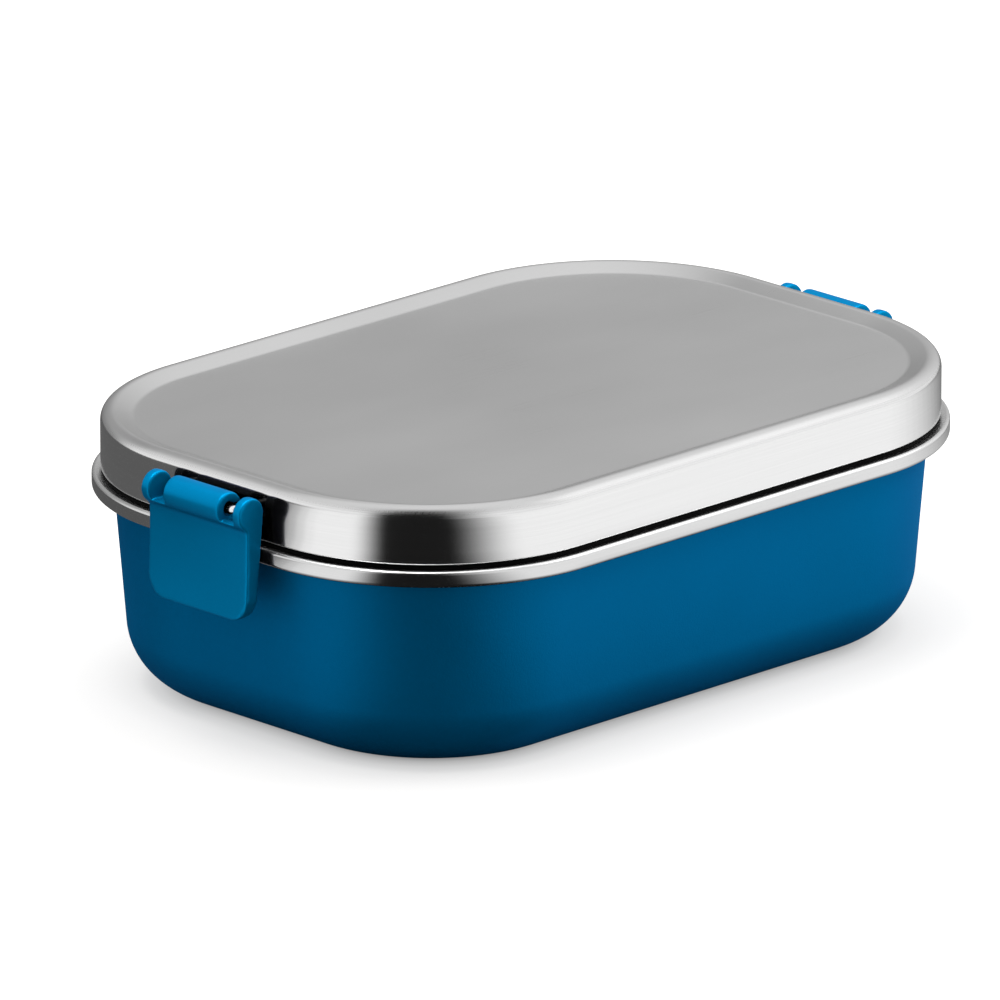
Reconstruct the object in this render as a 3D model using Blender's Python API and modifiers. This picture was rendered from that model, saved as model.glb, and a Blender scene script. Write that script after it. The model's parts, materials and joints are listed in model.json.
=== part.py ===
"""Lunch box: a painted drawn-steel tub, a pressed steel lid with a silicone seal, and two clips on wire bails.

The long side runs along X, the box stands on z = 0 and its middle is at x = y = 0.
Every sheet and ring follows one rounded-rectangle outline, the outside of the lid's skirt: a profile
point is an inset from that outline (positive towards the middle) and a height.
"""
from math import acos, asin, atan2, cos, degrees, hypot, pi, radians, sin, sqrt, tan

import bmesh
import bpy
from mathutils import Matrix, Vector

# Driving sizes in metres and degrees

LID_LENGTH = 0.2100
LID_WIDTH = 0.1466
LID_CORNER = 0.0517
LID_HEIGHT = 0.0147
LID_SHEET = 0.0006
LID_TOP_ROUND = 0.0030
LID_BORDER = 0.0094
LID_PANEL_DEPTH = 0.0015
LID_PANEL_BEND = 0.0030
LID_HEM_ROUND = 0.0007
LID_HEM_WIDTH = 0.0034

TUB_HEIGHT = 0.0552
TUB_SHEET = 0.0006
TUB_DRAFT = 4.8
TUB_BOTTOM_RADIUS = 0.0210
TUB_WALL_INSET = 0.0030
RIM_BEAD = 0.0044
RIM_OVERHANG = 0.0022
RIM_BEND = 0.0008
RIM_CURL = 262.0

SEAL_BAND = 0.0013
SEAL_INSET = 0.0005
SEAL_NECK = 0.0016
SEAL_HEAD = 0.0015
SEAL_LIP = 0.0034
SEAL_LIP_THICK = 0.0014

BAIL_WIRE = 0.0024
BAIL_REACH = 0.0055
BAIL_HEIGHT = 0.0082
BAIL_BEND = 0.0022

CLIP_WIDTH = 0.0350
CLIP_LENGTH = 0.0278
CLIP_BARREL = 0.0084
CLIP_BARREL_WIDTH = 0.0196
CLIP_CHEEK = 0.0028
CLIP_NOTCH_DEPTH = 0.0026
CLIP_FRONT = 0.0016
CLIP_FLARE = 0.0005
CLIP_NECK_ROUND = 0.0020
CLIP_PLATE = 0.0024
CLIP_CORNER = 0.0060
CLIP_TAPER = 0.0170
CLIP_FOOT = 0.0036
CLIP_BRIDGE = 0.0024
CLIP_SNAP_SLOT = 0.0020
CLIP_EDGE = 0.0005

HOOK_THICK = 0.0025
HOOK_WIDTH = 0.0240
HOOK_TIP_GAP = 0.0010

FIT_GAP = 0.0003
OVERCUT = 0.0020
WELD = 0.000001

# Places worked out from those sizes

LID_BASE = TUB_HEIGHT + SEAL_BAND
BAIL_X = LID_LENGTH / 2 + BAIL_REACH
BAIL_Z = LID_BASE + BAIL_HEIGHT
CLIP_BACK = BAIL_REACH - RIM_OVERHANG - FIT_GAP
CLIP_INSIDE = CLIP_WIDTH - 2 * CLIP_CHEEK
BAIL_SPAN = (CLIP_BARREL_WIDTH + CLIP_INSIDE) / 2
DRAFT = radians(TUB_DRAFT)

# Smoothness of the round forms, in steps

CORNER_STEPS = 12
BOTTOM_STEPS = 6
BEND_STEPS = 3
CURL_STEPS = 9
LID_EDGE_STEPS = 5
BARREL_STEPS = 8
WIRE_STEPS = 4
FACE_STEPS = 3
HOOK_STEPS = 5
FOOT_STEPS = 6
EDGE_STEPS = 2
WIRE_ROUND = 3
SPREAD_LIMIT = radians(35)

PARTS = "lunch_box"
CUTTERS = "cutters"


# Scene and small helpers

def clear_scene():
    """Remove what the file holds and make the two collections."""
    for thing in list(bpy.data.objects):
        bpy.data.objects.remove(thing, do_unlink=True)
    for name in (PARTS, CUTTERS):
        old = bpy.data.collections.get(name)
        if old:
            bpy.data.collections.remove(old)
        bpy.context.scene.collection.children.link(bpy.data.collections.new(name))


def material(name, colour, roughness, metallic):
    """A plain Principled finish."""
    made = bpy.data.materials.new(name)
    made.use_nodes = True
    shader = made.node_tree.nodes["Principled BSDF"]
    shader.inputs["Base Color"].default_value = (*colour, 1.0)
    shader.inputs["Roughness"].default_value = roughness
    shader.inputs["Metallic"].default_value = metallic
    made.diffuse_color = (*colour, 1.0)
    return made


def place(name, data, collection=PARTS, finish=None):
    """An object of this mesh or curve, in one of the two collections."""
    thing = bpy.data.objects.new(name, data)
    bpy.data.collections[collection].objects.link(thing)
    if finish:
        data.materials.append(finish)
    if collection == CUTTERS:
        thing.hide_render = True
        thing.display_type = "WIRE"
    return thing


def baked(thing):
    """The evaluated mesh of an object, with its caps welded."""
    bpy.context.view_layer.update()
    seen = thing.evaluated_get(bpy.context.evaluated_depsgraph_get())
    mesh = bpy.data.meshes.new_from_object(seen)
    bm = bmesh.new()
    bm.from_mesh(mesh)
    bmesh.ops.remove_doubles(bm, verts=bm.verts, dist=WELD)
    bmesh.ops.recalc_face_normals(bm, faces=bm.faces)
    bm.to_mesh(mesh)
    bm.free()
    return mesh


def soften(mesh):
    """Smooth shading that keeps the sharp edges."""
    mesh.shade_smooth()
    mesh.set_sharp_from_angle(angle=SPREAD_LIMIT)


def arc(centre, radius, start, end, steps):
    """Points round a centre, from one angle in degrees to another."""
    turn = [radians(start + (end - start) * i / steps) for i in range(steps + 1)]
    return [(centre[0] + radius * cos(a), centre[1] + radius * sin(a)) for a in turn]


# The rounded-rectangle outline that the sheets and the seal share

CORE_X = LID_LENGTH / 2 - LID_CORNER
CORE_Y = LID_WIDTH / 2 - LID_CORNER


def outward(point):
    """The level direction square to the outline, away from the middle, at a point of a ring."""
    core = Vector((max(-CORE_X, min(CORE_X, point.x)), max(-CORE_Y, min(CORE_Y, point.y)), 0))
    return (Vector((point.x, point.y, 0)) - core).normalized()


def first_ring(bm, inset, height):
    """One closed loop of edges on the outline, moved in by inset."""
    verts = []
    for quarter, (side_x, side_y) in enumerate(((1, 1), (-1, 1), (-1, -1), (1, -1))):
        corner = (side_x * CORE_X, side_y * CORE_Y)
        for x, y in arc(corner, LID_CORNER - inset, 90 * quarter, 90 * quarter + 90, CORNER_STEPS):
            verts.append(bm.verts.new((x, y, height)))
    return [bm.edges.new((verts[i - 1], verts[i])) for i in range(len(verts))]


def next_ring(bm, ring, step_in, height):
    """Extrude a loop of edges and move the new loop inwards and to its height."""
    made = bmesh.ops.extrude_edge_only(bm, edges=ring)["geom"]
    for vert in (item for item in made if isinstance(item, bmesh.types.BMVert)):
        vert.co -= outward(vert.co) * step_in
        vert.co.z = height
    return [item for item in made if isinstance(item, bmesh.types.BMEdge) and item.is_boundary]


def swept(bm, profile):
    """Sweep a profile of (inset, height) points round the outline and return the first loop."""
    first = ring = first_ring(bm, *profile[0])
    for (inset, _), (new_inset, new_height) in zip(profile, profile[1:]):
        ring = next_ring(bm, ring, new_inset - inset, new_height)
    return first


def sheet_pan(name, profile, facing, thickness, finish):
    """A pressed sheet: the profile's first point bounds a flat middle, and thickness goes behind it."""
    bm = bmesh.new()
    middle = bmesh.ops.contextual_create(bm, geom=swept(bm, profile))["faces"][0]
    bmesh.ops.recalc_face_normals(bm, faces=bm.faces)
    middle.normal_update()
    if middle.normal.z * facing < 0:
        bmesh.ops.reverse_faces(bm, faces=bm.faces)
    mesh = bpy.data.meshes.new(name)
    bm.to_mesh(mesh)
    bm.free()
    soften(mesh)
    pan = place(name, mesh, finish=finish)
    shell = pan.modifiers.new("sheet", "SOLIDIFY")
    shell.thickness = thickness
    shell.offset = -1
    shell.use_even_offset = True
    return pan


# The tub

def wall_inset(height):
    """Inset of the tub wall's outside at a height under the rim."""
    return TUB_WALL_INSET + (TUB_HEIGHT - TUB_SHEET - height) * tan(DRAFT)


def rim_bend_centre():
    """Centre of the bend between the wall and the rim's flange."""
    centre_height = TUB_HEIGHT - TUB_SHEET - RIM_BEND
    return wall_inset(centre_height + RIM_BEND * sin(DRAFT)) - RIM_BEND * cos(DRAFT), centre_height


def bead_centre():
    """Centre of the rolled bead."""
    return RIM_BEAD / 2 - RIM_OVERHANG, TUB_HEIGHT - RIM_BEAD / 2


def tub_profile():
    """The painted side of the sheet: floor edge, bottom radius, wall, bend, flange and rolled bead."""
    radius = TUB_BOTTOM_RADIUS
    wall_foot = radius * (1 - sin(DRAFT))
    centre = (wall_inset(wall_foot) + radius * cos(DRAFT), radius)
    bottom = arc(centre, radius, 270, 180 + TUB_DRAFT, BOTTOM_STEPS)
    bend = arc(rim_bend_centre(), RIM_BEND, TUB_DRAFT, 90, BEND_STEPS)
    curl = arc(bead_centre(), RIM_BEAD / 2 - TUB_SHEET, 90, 90 + RIM_CURL, CURL_STEPS)
    return bottom + bend + curl


def make_tub(finish):
    """The drawn tub, painted side down and out, steel on the food side."""
    return sheet_pan("base_tub", tub_profile(), -1, TUB_SHEET, finish)


# The lid

def lid_profile():
    """The outside of the lid: panel bend, straight slope, round edge, skirt and inturned hem."""
    bend_centre = (LID_BORDER, LID_HEIGHT - LID_PANEL_DEPTH + LID_PANEL_BEND)
    edge_centre = (LID_TOP_ROUND, LID_HEIGHT - LID_TOP_ROUND)
    across, up = bend_centre[0] - edge_centre[0], bend_centre[1] - edge_centre[1]
    slope = degrees(asin((LID_PANEL_BEND + LID_TOP_ROUND) / hypot(across, up)) - atan2(up, across))
    bend = arc(bend_centre, LID_PANEL_BEND, 270, 270 - slope, BEND_STEPS)
    edge = arc(edge_centre, LID_TOP_ROUND, 90 - slope, 180, LID_EDGE_STEPS)
    hem = arc((LID_HEM_ROUND, LID_HEM_ROUND), LID_HEM_ROUND, 180, 270, BEND_STEPS)
    outside = bend + edge + hem + [(LID_HEM_WIDTH, 0)]
    return [(inset, LID_BASE + height) for inset, height in outside]


def make_lid(finish):
    """The pressed lid, bright side up and out."""
    return sheet_pan("lid_shell", lid_profile(), 1, LID_SHEET, finish)


# The seal

def seal_profile():
    """A ring that grips the hem from inside, with a foot on the rim and a lip in the tub's mouth."""
    foot = TUB_HEIGHT + FIT_GAP
    lip_foot = foot - SEAL_LIP
    clear = TUB_SHEET + FIT_GAP
    mouth = wall_inset(lip_foot) + clear / cos(DRAFT)
    neck = LID_HEM_WIDTH + FIT_GAP
    inner = max(neck + SEAL_NECK, mouth + SEAL_LIP_THICK)
    grip = LID_BASE + LID_SHEET + FIT_GAP
    head_edge = LID_HEM_ROUND + FIT_GAP
    shoulder = LID_BASE - FIT_GAP
    round_the_bend = arc(rim_bend_centre(), RIM_BEND + clear, 90, TUB_DRAFT, BEND_STEPS)
    lip = [(mouth, lip_foot), (mouth + SEAL_LIP_THICK, lip_foot), (inner, foot)]
    head = [(inner, grip + SEAL_HEAD), (head_edge, grip + SEAL_HEAD), (head_edge, grip)]
    groove = [(neck, grip), (neck, shoulder), (SEAL_INSET, shoulder)]
    return [(SEAL_INSET, foot)] + round_the_bend + lip + head + groove


def make_seal(finish):
    """The seal as one closed ring."""
    profile = seal_profile()
    bm = bmesh.new()
    swept(bm, profile + profile[:1])
    bmesh.ops.remove_doubles(bm, verts=bm.verts, dist=WELD)
    bmesh.ops.recalc_face_normals(bm, faces=bm.faces)
    mesh = bpy.data.meshes.new("lid_gasket")
    bm.to_mesh(mesh)
    bm.free()
    soften(mesh)
    return place("lid_gasket", mesh, finish=finish)


# The wire bails

def make_bail(name, side, finish):
    """A wire across one end of the lid, its two legs turned in and ended on the skirt."""
    half = BAIL_SPAN / 2
    leg_end = (FIT_GAP - BAIL_REACH, half)
    bend = arc((-BAIL_BEND, half - BAIL_BEND), BAIL_BEND, 90, 0, WIRE_STEPS)
    near_side = [leg_end] + bend
    route = near_side + [(x, -y) for x, y in reversed(near_side)]
    wire = bpy.data.curves.new(name, "CURVE")
    wire.dimensions = "3D"
    wire.bevel_depth = BAIL_WIRE / 2
    wire.bevel_resolution = WIRE_ROUND
    wire.use_fill_caps = True
    line = wire.splines.new("POLY")
    line.points.add(len(route) - 1)
    for point, (x, y) in zip(line.points, route):
        point.co = (side * x, y, 0, 1)
    bail = place(name, wire, finish=finish)
    bail.location = (side * BAIL_X, 0, BAIL_Z)
    return bail


# The clips, drawn with x outboard of the wire, y along it and z up

def extruded(name, outline, width, turn):
    """A flat closed outline given a width, as a mesh object turned into the clip's frame."""
    flat = bpy.data.curves.new(name, "CURVE")
    flat.dimensions = "2D"
    flat.fill_mode = "BOTH"
    flat.extrude = width / 2
    line = flat.splines.new("POLY")
    line.use_cyclic_u = True
    line.points.add(len(outline) - 1)
    for point, (x, y) in zip(line.points, outline):
        point.co = (x, y, 0, 1)
    drawing = place(name + "_outline", flat, CUTTERS)
    mesh = baked(drawing)
    mesh.transform(turn)
    bpy.data.objects.remove(drawing, do_unlink=True)
    return place(name, mesh, CUTTERS)


SIDE_ON = Matrix.Rotation(pi / 2, 4, "X")
FRONT_ON = Matrix.Rotation(pi / 2, 4, "Z") @ Matrix.Rotation(pi / 2, 4, "X")


def block(name, low, high):
    """A box between two corners, as a cutter."""
    bm = bmesh.new()
    bmesh.ops.create_cube(bm, size=1)
    size = Vector(high) - Vector(low)
    middle = (Vector(high) + Vector(low)) / 2
    bmesh.ops.transform(bm, matrix=Matrix.Translation(middle) @ Matrix.Diagonal((*size, 1)), verts=bm.verts)
    mesh = bpy.data.meshes.new(name)
    bm.to_mesh(mesh)
    bm.free()
    return place(name, mesh, CUTTERS)


def rod(name, radius, length):
    """A cylinder along the wire, as a cutter."""
    bm = bmesh.new()
    bmesh.ops.create_cone(bm, cap_ends=True, segments=3 * BARREL_STEPS, radius1=radius, radius2=radius,
                          depth=length, matrix=Matrix.Rotation(pi / 2, 4, "X"))
    mesh = bpy.data.meshes.new(name)
    bm.to_mesh(mesh)
    bm.free()
    return place(name, mesh, CUTTERS)


def shape(body, tool, operation):
    """Cut, keep or join one body with another."""
    step = body.modifiers.new(tool.name, "BOOLEAN")
    step.operation = operation
    step.solver = "EXACT"
    step.object = tool


def clip_side():
    """The clip from its side: round top on the wire, hollow neck, flared face and a back clear of the bead."""
    radius = CLIP_BARREL / 2
    neck_x = CLIP_FRONT + CLIP_NECK_ROUND
    neck = (neck_x, -sqrt((radius + CLIP_NECK_ROUND) ** 2 - neck_x ** 2))
    lean = degrees(atan2(neck[1], neck[0]))
    top = arc((0, 0), radius, lean, 180 - degrees(acos(CLIP_BACK / radius)), BARREL_STEPS)
    heel = CLIP_FRONT + CLIP_FLARE - CLIP_FOOT
    taper = (heel + CLIP_BACK) / CLIP_TAPER
    back = [(-CLIP_BACK, CLIP_TAPER - CLIP_LENGTH), (heel + taper * OVERCUT, -CLIP_LENGTH - OVERCUT)]
    drop = CLIP_LENGTH + neck[1]
    face = []
    for i in range(FACE_STEPS):
        down = (drop + OVERCUT) * (1 - i / FACE_STEPS)
        face.append((CLIP_FRONT + CLIP_FLARE * (down / drop) ** 2, neck[1] - down))
    hollow = arc(neck, CLIP_NECK_ROUND, 180, 180 + lean, BEND_STEPS)
    return top + back + face + hollow[:-1]


def clip_front():
    """The clip from its front: square above, with round lower corners."""
    half = CLIP_WIDTH / 2
    top = CLIP_BARREL / 2 + OVERCUT
    low = CLIP_CORNER - CLIP_LENGTH
    left = arc((CLIP_CORNER - half, low), CLIP_CORNER, 180, 270, FOOT_STEPS)
    right = arc((half - CLIP_CORNER, low), CLIP_CORNER, 270, 360, FOOT_STEPS)
    return [(-half, top)] + left + right + [(half, top)]


def hook_side():
    """The catch from its side: a ledge curved about the wire, so that it swings clear of the bead."""
    bead_inset, bead_height = bead_centre()
    inner = hypot(BAIL_REACH + bead_inset, BAIL_Z - bead_height) + RIM_BEAD / 2 + FIT_GAP
    middle = inner + HOOK_THICK / 2
    tip_reach = BAIL_REACH + TUB_WALL_INSET - HOOK_TIP_GAP - HOOK_THICK / 2
    tip_turn = 270 - degrees(asin(tip_reach / middle))
    root_turn = 270 + degrees(asin((CLIP_FRONT - CLIP_PLATE / 2) / inner))
    tip = (middle * cos(radians(tip_turn)), middle * sin(radians(tip_turn)))
    upper = arc((0, 0), inner, root_turn, tip_turn, HOOK_STEPS)
    nose = arc(tip, HOOK_THICK / 2, tip_turn - 180, tip_turn, WIRE_STEPS)
    lower = arc((0, 0), inner + HOOK_THICK, tip_turn, root_turn, HOOK_STEPS)
    return upper + nose[1:-1] + lower


def make_clip_mesh(finish):
    """One moulded clip: a hollow-backed flap with a barrel and two cheeks on top and a catch behind."""
    radius = CLIP_BARREL / 2
    far_back = -radius - OVERCUT
    far_front = radius + OVERCUT
    barrel = CLIP_BARREL_WIDTH / 2
    inside = CLIP_INSIDE / 2
    pocket_top = -CLIP_NOTCH_DEPTH - CLIP_BRIDGE
    body = extruded("clip_body", clip_side(), CLIP_WIDTH + 2 * OVERCUT, SIDE_ON)
    shape(body, extruded("clip_front", clip_front(), 2 * (CLIP_BARREL + OVERCUT), FRONT_ON), "INTERSECT")
    for name, low, high in (("near_notch", -inside, -barrel), ("far_notch", barrel, inside)):
        notch = block(name, (far_back, low, -CLIP_NOTCH_DEPTH), (far_front, high, far_front))
        shape(body, notch, "DIFFERENCE")
    edge = body.modifiers.new("edge", "BEVEL")
    edge.width = CLIP_EDGE
    edge.segments = EDGE_STEPS
    edge.use_clamp_overlap = False
    edge.loop_slide = False
    edge.limit_method = "ANGLE"
    edge.angle_limit = SPREAD_LIMIT
    pocket = block("back_pocket", (far_back, -inside, -CLIP_LENGTH - OVERCUT),
                   (CLIP_FRONT - CLIP_PLATE, inside, pocket_top))
    shape(body, pocket, "DIFFERENCE")
    shape(body, extruded("catch", hook_side(), HOOK_WIDTH, SIDE_ON), "UNION")
    shape(body, rod("bore", BAIL_WIRE / 2 + FIT_GAP, CLIP_BARREL_WIDTH + 2 * OVERCUT), "DIFFERENCE")
    slot = block("snap_slot", (far_back, -barrel - OVERCUT, -CLIP_SNAP_SLOT / 2),
                 (0, barrel + OVERCUT, CLIP_SNAP_SLOT / 2))
    shape(body, slot, "DIFFERENCE")
    mesh = baked(body)
    mesh.name = "clip"
    mesh.materials.append(finish)
    soften(mesh)
    bpy.data.objects.remove(body, do_unlink=True)
    return mesh


# The whole box

def build():
    """Make every piece and hang it on the one that carries it."""
    clear_scene()
    paint = material("blue_paint", (0.0, 0.115, 0.275), 0.42, 0.0)
    steel = material("brushed_steel", (0.60, 0.60, 0.60), 0.28, 1.0)
    rubber = material("black_silicone", (0.008, 0.008, 0.009), 0.60, 0.0)
    wire = material("bright_wire", (0.68, 0.68, 0.68), 0.18, 1.0)
    plastic = material("blue_plastic", (0.0, 0.150, 0.320), 0.45, 0.0)
    tub = make_tub(paint)
    lid = make_lid(steel)
    lid.parent = tub
    seal = make_seal(rubber)
    seal.parent = lid
    clip_mesh = make_clip_mesh(plastic)
    for name, side in (("left", -1), ("right", 1)):
        bail = make_bail("bail_" + name, side, wire)
        bail.parent = lid
        clip = place("clip_" + name, clip_mesh)
        clip.location = (side * BAIL_X, 0, BAIL_Z)
        clip.rotation_euler.z = 0 if side > 0 else pi
        clip.parent = lid


build()
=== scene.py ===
# %% [markdown]
# # A steel lunch box in a small studio
#
# The box is a deep-drawn steel tub with a blue powder coat outside, a pressed lid with a black seal, and
# two moulded clips that swing on wire bails and snap under the tub's rolled rim. The construction model
# already gives each piece its size, its place and its joint. This lesson makes what the eye meets: fine
# meshes, finishes, a camera and some soft light. All lengths are in metres.

# %% Load the construction model
import json
from math import asin, atan2, cos, degrees, hypot, pi, radians, sin, sqrt, tan

import bmesh
import bpy
from mathutils import Matrix, Vector


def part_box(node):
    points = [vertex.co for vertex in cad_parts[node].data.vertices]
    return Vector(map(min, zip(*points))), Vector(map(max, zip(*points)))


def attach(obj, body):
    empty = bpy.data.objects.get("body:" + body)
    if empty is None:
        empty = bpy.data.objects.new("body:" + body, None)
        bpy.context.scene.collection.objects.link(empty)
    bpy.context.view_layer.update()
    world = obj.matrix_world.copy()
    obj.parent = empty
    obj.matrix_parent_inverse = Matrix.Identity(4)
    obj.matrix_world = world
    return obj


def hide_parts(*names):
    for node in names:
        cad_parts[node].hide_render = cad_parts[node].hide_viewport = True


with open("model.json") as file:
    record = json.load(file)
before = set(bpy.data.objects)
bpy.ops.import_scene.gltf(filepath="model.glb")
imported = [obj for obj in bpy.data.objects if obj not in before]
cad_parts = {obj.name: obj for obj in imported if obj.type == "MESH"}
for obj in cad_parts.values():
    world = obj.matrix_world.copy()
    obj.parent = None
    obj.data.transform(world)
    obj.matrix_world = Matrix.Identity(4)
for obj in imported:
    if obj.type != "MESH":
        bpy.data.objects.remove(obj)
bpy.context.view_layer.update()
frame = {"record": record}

# %% [markdown]
# ## Sizes read from the model
#
# A dressed piece that replaces a plain one must fit the same space, so the large sizes are measured on
# the loaded model and not typed again. The clips turn about their wires, and the record of the model
# says where those axes are.

# %% Measure the loaded model
lid_low, lid_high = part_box("lid_shell")
tub_low, tub_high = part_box("base_tub")
LID_LENGTH = lid_high.x - lid_low.x
LID_WIDTH = lid_high.y - lid_low.y
LID_BASE = lid_low.z
LID_TOP = lid_high.z
RIM_TOP = tub_high.z
RIM_OVERHANG = (tub_high.x - tub_low.x - LID_LENGTH) / 2
HINGES = {joint["child"]: Vector(joint["pos_m"])
          for joint in frame["record"]["behaviour"]["joints"] if joint["type"] == "hinge"}
print("lid %.1f x %.1f mm, rim at %.1f mm" % (1000 * LID_LENGTH, 1000 * LID_WIDTH, 1000 * RIM_TOP))

# %% [markdown]
# ## The camera
#
# A product photograph like this is taken from far away with a long lens, so that upright edges stay
# upright. The camera is given as a photographer would note it: the compass turn round the box, the height
# angle, the distance and the lens. Aiming it with `to_track_quat` avoids working out Euler angles by hand.

# %% Camera
CAMERA_TURN = radians(-44.616)
CAMERA_RISE = radians(17.811)
CAMERA_DISTANCE = 4.443
CAMERA_LENS = 641.94
CAMERA_SIGHT = 60
CAMERA_AIM = Vector((-0.0076, 0.0004, 0.0414))

towards_camera = Vector((sin(CAMERA_TURN) * cos(CAMERA_RISE), -cos(CAMERA_TURN) * cos(CAMERA_RISE),
                         sin(CAMERA_RISE)))
camera_data = bpy.data.cameras.new("camera")
camera_data.lens = CAMERA_LENS
camera_data.clip_end = CAMERA_SIGHT
camera = bpy.data.objects.new("camera", camera_data)
camera.location = CAMERA_AIM + towards_camera * CAMERA_DISTANCE
camera.rotation_euler = (-towards_camera).to_track_quat("-Z", "Y").to_euler()
bpy.context.scene.collection.objects.link(camera)
bpy.context.scene.camera = camera
bpy.context.scene.view_settings.view_transform = "Standard"
print("camera at", [round(c, 2) for c in camera.location])

# %% [markdown]
# ## Building node trees
#
# Every finish below is a tree of shader nodes. Small helpers keep those trees short: one adds a node with
# its settings and links, one starts a material, and the rest make the kinds of node that come up most
# often. A Mix node has sockets for several kinds of data under the same names, so its colours are reached
# by number: 6 and 7 go in, 2 comes out.

# %% Node helpers
def node(tree, kind, links=None, **settings):
    """Add a node. Settings are its properties; links maps an input to a value or to another socket."""
    made = tree.nodes.new("ShaderNode" + kind)
    for name, value in settings.items():
        setattr(made, name, value)
    for name, value in (links or {}).items():
        if isinstance(value, bpy.types.NodeSocket):
            tree.links.new(value, made.inputs[name])
        else:
            made.inputs[name].default_value = value
    return made


def new_material(name):
    """An empty node material with its output."""
    made = bpy.data.materials.new(name)
    made.use_nodes = True
    made.node_tree.nodes.clear()
    return made, made.node_tree, node(made.node_tree, "OutputMaterial")


def grey(level):
    """A neutral colour."""
    return (level, level, level, 1.0)


def stretched(tree, value, low, high):
    """Map low to high onto 0 to 1."""
    return node(tree, "MapRange", {"Value": value, "From Min": low, "From Max": high}).outputs[0]


def between(tree, value, low, high):
    """Map 0 to 1 onto low to high."""
    return node(tree, "MapRange", {"Value": value, "To Min": low, "To Max": high}).outputs[0]


def mixed(tree, share, start, end):
    """Mix two values by a share from 0 to 1."""
    return node(tree, "Mix", {"Factor": share, "A": start, "B": end}, data_type="FLOAT").outputs[0]


def blend(tree, share, start, end):
    """Mix two colours by a share from 0 to 1."""
    return node(tree, "Mix", {"Factor": share, 6: start, 7: end}, data_type="RGBA").outputs[2]


print("node helpers ready")

# %% [markdown]
# ## White world and floor
#
# A cut-out white ground could be got by overexposing the floor, but then the box would burn out too.
# Instead the world is white only to rays that come from the camera or that bounce off something shiny,
# and the floor glows to those rays by how far they land from the box: little beside it and fully further
# out, where the ground has to fade into white. That weak glow beside the box is painted shadow, laid over
# the real shadow that the box casts on the floor's dull part, and the steel mirrors it too. The distance is
# measured from the lid's outline, a rounded rectangle, by pushing the point back onto the outline's inner
# core. The painted shadow lifts fast at first and slowly later, like a shadow on a bright sweep, so a
# colour ramp holds the glow's strength at several distances. They start below zero, because the tub's foot
# lies inside the lid's outline. The floor has one colour for the camera and another for every other ray, so
# that the tone of the shadow can be set without changing the light that the floor throws back on the box.

# %% World and floor
AMBIENT = 0.42
FLOOR_COLOUR = 0.30
FLOOR_SEEN_COLOUR = (0.35, 0.342, 0.332, 1.0)
FLOOR_SIZE = 40.0
# Painted shadow: both glows are weak beside the box and full further out, on top of the real shadow.
SEEN_GLOW_AND_PAINTED_SHADOW = ((-0.0235, 0.0), (-0.021, 0.25), (-0.018, 0.44), (-0.014, 0.58), (-0.008, 0.67),
             (0.0, 0.71), (0.014, 0.73), (0.030, 0.80), (0.05, 1.0))
MIRRORED_GLOW_AND_PAINTED_SHADOW = ((0.0, 0.0), (0.12, 0.70))
CORNER = 0.0517
CORE = Vector((LID_LENGTH / 2 - CORNER, LID_WIDTH / 2 - CORNER))


def mirrored_rays(path):
    """1 for rays that only mirrors have turned, so that dull surfaces don't pick up the white room."""
    tree = path[0].id_data
    # The depth counts bounces in whole numbers, so under a half means none.
    no_dull = node(tree, "Math", {0: path["Diffuse Depth"], 1: 0.5}, operation="LESS_THAN").outputs[0]
    return node(tree, "Math", {0: path["Is Glossy Ray"], 1: no_dull}, operation="MULTIPLY").outputs[0]


def glow_with_painted_shadow(tree, ray, stops):
    """A glow for one kind of ray, from stops of (distance from the lid's outline, strength); weak stops
    near the box paint a shadow.
    """
    place = node(tree, "NewGeometry").outputs["Position"]
    quarter = node(tree, "VectorMath", {0: place}, operation="ABSOLUTE").outputs[0]
    past = node(tree, "VectorMath", {0: quarter, 1: (*CORE, 0)}, operation="SUBTRACT").outputs[0]
    reach = node(tree, "VectorMath", {0: past, 1: (0, 0, 0)}, operation="MAXIMUM").outputs[0]
    away = node(tree, "VectorMath", {0: reach}, operation="LENGTH").outputs["Value"]
    first, last = stops[0][0], stops[-1][0]
    ramp = node(tree, "ValToRGB", {"Fac": stretched(tree, away, CORNER + first, CORNER + last)})
    for distance, _ in stops[1:-1]:
        ramp.color_ramp.elements.new((distance - first) / (last - first))
    for element, (_, strength) in zip(ramp.color_ramp.elements, stops):
        element.color = grey(strength)
    return node(tree, "Math", {0: ramp.outputs["Color"], 1: ray}, operation="MULTIPLY").outputs[0]


world = bpy.data.worlds.new("white_room")
world.use_nodes = True
tree = world.node_tree
tree.nodes.clear()
path = node(tree, "LightPath").outputs
direct = node(tree, "Math", {0: path["Is Camera Ray"], 1: mirrored_rays(path)}, operation="MAXIMUM")
level = between(tree, direct.outputs[0], AMBIENT, 1.0)
sky = node(tree, "Background", {"Color": grey(1.0), "Strength": level})
node(tree, "OutputWorld", {"Surface": sky.outputs[0]})
bpy.context.scene.world = world

white_floor, tree, output = new_material("white_floor")
path = node(tree, "LightPath").outputs
tone = blend(tree, path["Is Camera Ray"], grey(FLOOR_COLOUR), FLOOR_SEEN_COLOUR)
matt = node(tree, "BsdfDiffuse", {"Color": tone})
# The camera's glow paints the contact shadow; the mirrored glow paints a dark floor beside the box in the
# steel.
seen = glow_with_painted_shadow(tree, path["Is Camera Ray"], SEEN_GLOW_AND_PAINTED_SHADOW)
mirrored = glow_with_painted_shadow(tree, mirrored_rays(path), MIRRORED_GLOW_AND_PAINTED_SHADOW)
strength = node(tree, "Math", {0: seen, 1: mirrored}, operation="ADD").outputs[0]
glow = node(tree, "Emission", {"Color": grey(1.0), "Strength": strength})
both = node(tree, "AddShader", {0: matt.outputs[0], 1: glow.outputs[0]})
tree.links.new(both.outputs[0], output.inputs["Surface"])

bpy.ops.mesh.primitive_plane_add(size=FLOOR_SIZE)
floor = bpy.context.object
floor.name = "floor"
floor.data.materials.append(white_floor)
print("world and floor ready")

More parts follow.
